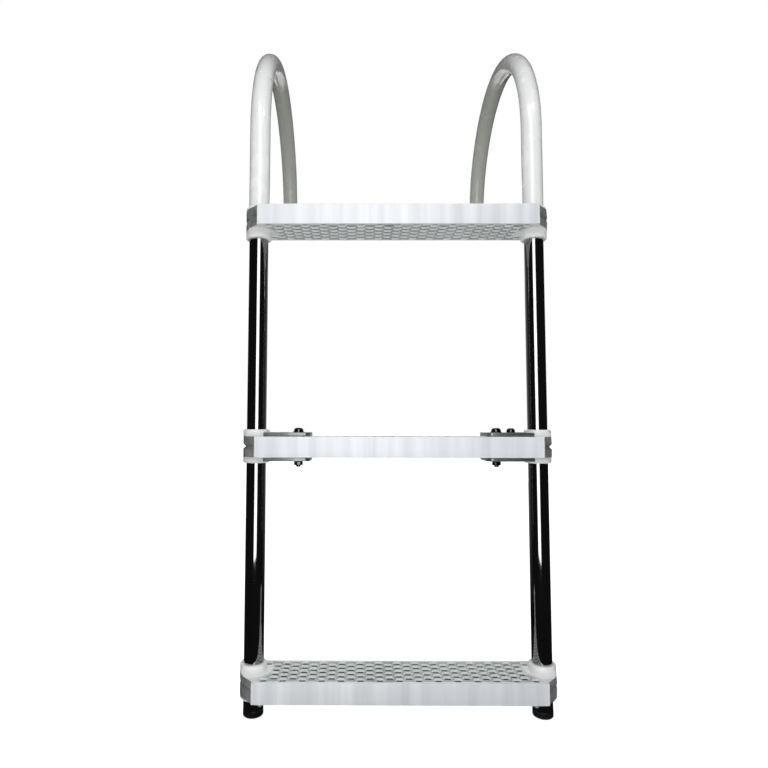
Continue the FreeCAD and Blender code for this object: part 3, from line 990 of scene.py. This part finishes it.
@dataclass
class Studio:
    """The floor, the world, the lamps, the cards and the camera.

    Attributes:
        floor_z: height of the floor.
        floor_size: how far the floor reaches.
        floor_colour: the floor's colour.
        floor_glow: how bright it shows as a background near the ladder and far from it.
        glow_span: how far from the ladder that changes.
        fill: strength of the soft light from all round.
        focal_px: the camera's focal length, in pixels of the picture.
        frame_px: the picture's width.
        centre_px: where the lens's axis meets the picture.
        eye: where the camera stands.
        yaw: the camera's turn about the upright, in radians.
        pitch: its tilt up or down.
        roll: its lean.
        clip_start: how near to the camera things are drawn.
        cards: the cards that only gloss can see.
        lamps: the softboxes.
    """

    floor_z: float = -0.6365
    floor_size: float = 20.0
    floor_colour: tuple[float, ...] = (0.85, 0.85, 0.85, 1.0)
    floor_glow: tuple[float, float] = (0.80, 1.0)
    glow_span: tuple[float, float] = (0.75, 1.9)
    fill: float = 0.46
    focal_px: float = 561.65
    frame_px: float = 768.0
    centre_px: tuple[float, float] = (354.03, 388.32)
    eye: Point = (-0.0529, -0.7643, -0.2689)
    yaw: float = 0.0045
    pitch: float = -0.0657
    roll: float = 0.0013
    clip_start: float = 0.01
    cards: tuple[Card, ...] = (
        Card("front_flag", (-2.6, -2.6, -0.64), (2.6, -2.6, 2.4)),
        Card("left_flag", (-0.60, -2.6, -0.64), (-0.60, 1.6, 2.4)),
        Card("right_flag", (0.60, -2.6, -0.64), (0.60, 1.6, 2.4)),
        Card("floor_flag", (-2.6, -2.6, -0.634), (2.6, 0.5, -0.634)),
        Card("rear_flag", (-2.6, 0.5, -0.634), (2.6, 3.0, -0.634), 0.02, 0.3),
        Card("ceiling_flag", (-2.6, -2.6, 1.1), (2.6, 2.4, 1.1), 0.03, 0.12),
        Card("middle_card", (0.0, -0.02, -0.60), (0.0, 1.2, 0.03), 0.0, 0.9, 0.32),
        Card("left_foot_card", (-0.152, -0.08, -0.6335), (-0.08, 0.06, -0.6335), 0.5, 0.5),
        Card("right_foot_card", (0.08, -0.08, -0.6335), (0.152, 0.06, -0.6335), 0.5, 0.5),
    )
    lamps: tuple[Softbox, ...] = (
        Softbox("window", (-0.054, -0.80, 0.19), (-0.054, 0.0, 0.19), (0.43, 1.62), 5.4),
        Softbox("spark_left", (-0.32, -0.63, 0.817), (-0.18, 0.0, 0.16), (0.07, 0.07), 0.7),
        Softbox("spark_right", (0.42, -0.62, 0.80), (0.18, 0.0, 0.16), (0.07, 0.07), 0.7),
    )

    def camera(self) -> None:
        """Places the camera where the photograph was taken from."""
        data = bpy.data.cameras.new("camera")
        data.sensor_width = SENSOR_MM
        data.lens = self.focal_px / self.frame_px * SENSOR_MM
        data.shift_x = (self.frame_px / 2 - self.centre_px[0]) / self.frame_px
        data.shift_y = (self.centre_px[1] - self.frame_px / 2) / self.frame_px
        data.clip_start = self.clip_start
        obj = bpy.data.objects.new("camera", data)
        cy, sy = math.cos(self.yaw), math.sin(self.yaw)
        cp, sp = math.cos(self.pitch), math.sin(self.pitch)
        cr, sr = math.cos(self.roll), math.sin(self.roll)
        base = Matrix(((1, 0, 0), (0, 0, -1), (0, 1, 0)))
        turn = Matrix(((cy, 0, sy), (0, 1, 0), (-sy, 0, cy)))
        tilt = Matrix(((1, 0, 0), (0, cp, -sp), (0, sp, cp)))
        lean = Matrix(((cr, -sr, 0), (sr, cr, 0), (0, 0, 1)))
        rows = lean @ tilt @ turn @ base
        right, down, ahead = rows[0], rows[1], rows[2]
        basis = Matrix((right, -down, -ahead)).transposed()
        obj.matrix_world = Matrix.Translation(self.eye) @ basis.to_4x4()
        bpy.context.scene.collection.objects.link(obj)
        bpy.context.scene.camera = obj

    def floor(self) -> None:
        """Lays a pale floor that keeps the ladder's shadow and runs out to white for the camera."""
        mesh = bmesh.new()
        bmesh.ops.create_grid(mesh, x_segments=1, y_segments=1, size=self.floor_size,
                              matrix=Matrix.Translation((0.0, 0.0, self.floor_z)))
        obj = self.prop("floor", mesh)
        material = bpy.data.materials.new("pale_floor")
        graph = empty_graph(material)
        out = graph.add("ShaderNodeOutputMaterial")
        place = graph.add("ShaderNodeTexCoord")
        away = graph.add("ShaderNodeVectorMath", operation="LENGTH")
        graph.link(place.outputs["Object"], away.inputs[0])
        plain = graph.add("ShaderNodeBsdfDiffuse", color=self.floor_colour)
        glow = graph.add("ShaderNodeEmission", color=WHITE)
        shine = graph.span(away.outputs["Value"], *self.glow_span, *self.floor_glow)
        graph.link(shine, glow.inputs["Strength"])
        both = graph.add("ShaderNodeAddShader")
        graph.link(plain.outputs[0], both.inputs[0])
        graph.link(glow.outputs[0], both.inputs[1])
        mix = graph.add("ShaderNodeMixShader")
        graph.link(self.shown(graph), mix.inputs[0])
        graph.link(plain.outputs[0], mix.inputs[1])
        graph.link(both.outputs[0], mix.inputs[2])
        graph.link(mix.outputs[0], out.inputs["Surface"])
        obj.data.materials.append(material)

    def prop(self, name: str, mesh: bmesh.types.BMesh) -> bpy.types.Object:
        """Makes a piece of the studio from a bmesh, frees it and marks it as stage.

        Args:
            name: its name.
            mesh: its shape.

        Returns:
            The new object.
        """
        obj = add_object(name, mesh)
        obj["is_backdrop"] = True
        return obj

    def shown(self, graph: Graph) -> bpy.types.NodeSocket:
        """Builds the mask of rays that show the background: from the camera, off gloss, through glass.

        Args:
            graph: the material's or world's graph.

        Returns:
            A socket that is 1 for these rays.
        """
        path = graph.add("ShaderNodeLightPath")
        seen = graph.math("MAXIMUM", path.outputs["Is Camera Ray"], path.outputs["Is Glossy Ray"])
        return graph.math("MAXIMUM", seen, path.outputs["Is Transmission Ray"])

    def stand(self, card: Card) -> None:
        """Stands a flat card in the studio that only gloss can see.

        Args:
            card: its values.
        """
        mesh = bmesh.new()
        bmesh.ops.create_grid(mesh, x_segments=1, y_segments=1, size=0.5)
        spans = [b - a for a, b in zip(card.low, card.high)]
        flat = spans.index(0.0)
        axes = [axis for axis in range(3) if axis != flat]
        for vert in mesh.verts:
            corner = list(card.low)
            corner[axes[0]] += (vert.co.x + 0.5) * spans[axes[0]]
            corner[axes[1]] += (vert.co.y + 0.5) * spans[axes[1]]
            vert.co = corner
        obj = self.prop(card.name, mesh)
        obj.visible_camera = False
        obj.visible_diffuse = False
        obj.visible_transmission = False
        obj.visible_shadow = False
        material = bpy.data.materials.new(card.name)
        graph = empty_graph(material)
        out = graph.add("ShaderNodeOutputMaterial")
        spot = graph.spot()
        glow = graph.add("ShaderNodeEmission", color=WHITE)
        far = card.high[1] if spans[1] else card.low[1] + 1.0
        power = graph.span(spot.outputs["Y"], card.low[1], far, card.near, card.far)
        if card.fade:
            lift = graph.span(spot.outputs["Z"], card.low[2], card.low[2] + card.fade)
            power = graph.math("MULTIPLY", power, lift)
        graph.link(power, glow.inputs["Strength"])
        graph.link(glow.outputs[0], out.inputs["Surface"])
        obj.data.materials.append(material)

    def world(self) -> None:
        """Fills the room: white as a background, soft as light."""
        world = bpy.data.worlds.new("room")
        bpy.context.scene.world = world
        graph = empty_graph(world)
        out = graph.add("ShaderNodeOutputWorld")
        soft = graph.add("ShaderNodeBackground", color=WHITE, strength=self.fill)
        white = graph.add("ShaderNodeBackground", color=WHITE, strength=1.0)
        mix = graph.add("ShaderNodeMixShader")
        graph.link(self.shown(graph), mix.inputs[0])
        graph.link(soft.outputs[0], mix.inputs[1])
        graph.link(white.outputs[0], mix.inputs[2])
        graph.link(mix.outputs[0], out.inputs["Surface"])

    def light(self, lamp: Softbox) -> None:
        """Adds one softbox.

        Args:
            lamp: its values.
        """
        data = bpy.data.lights.new(lamp.name, "AREA")
        data.shape = "RECTANGLE"
        data.size, data.size_y = lamp.size
        data.energy = lamp.power
        obj = bpy.data.objects.new(lamp.name, data)
        heading = Vector(lamp.aim) - Vector(lamp.place)
        turn = heading.to_track_quat("-Z", "Y").to_matrix().to_4x4()
        obj.matrix_world = Matrix.Translation(lamp.place) @ turn
        bpy.context.scene.collection.objects.link(obj)

    def build(self) -> None:
        """Sets up the whole studio."""
        scene = bpy.context.scene
        scene.view_settings.view_transform = "Standard"
        self.camera()
        self.floor()
        for card in self.cards:
            self.stand(card)
        self.world()
        for lamp in self.lamps:
            self.light(lamp)


def write_sizes(dressed: object) -> None:
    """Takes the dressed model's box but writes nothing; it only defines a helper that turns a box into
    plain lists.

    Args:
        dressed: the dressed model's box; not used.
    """
    def plain(box: object) -> list[list[float]]:
        """Returns a box as plain lists of numbers."""
        return [[float(v) for v in corner] for corner in box]


def main() -> None:
    """Loads the frame, builds the ladder's pieces in order and sets up the studio."""
    logging.basicConfig(level=logging.INFO, format="%(name)s: %(message)s")
    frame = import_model()
    nodes = frame["nodes"]
    palette = Palette()
    for side in Side:
        Rail(side).build(palette)
    for level in Level:
        Step(level).build(palette, nodes)
    Trim().build(palette, nodes)
    Studio().build()
    write_sizes(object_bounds())


if __name__ == "__main__":
    main()
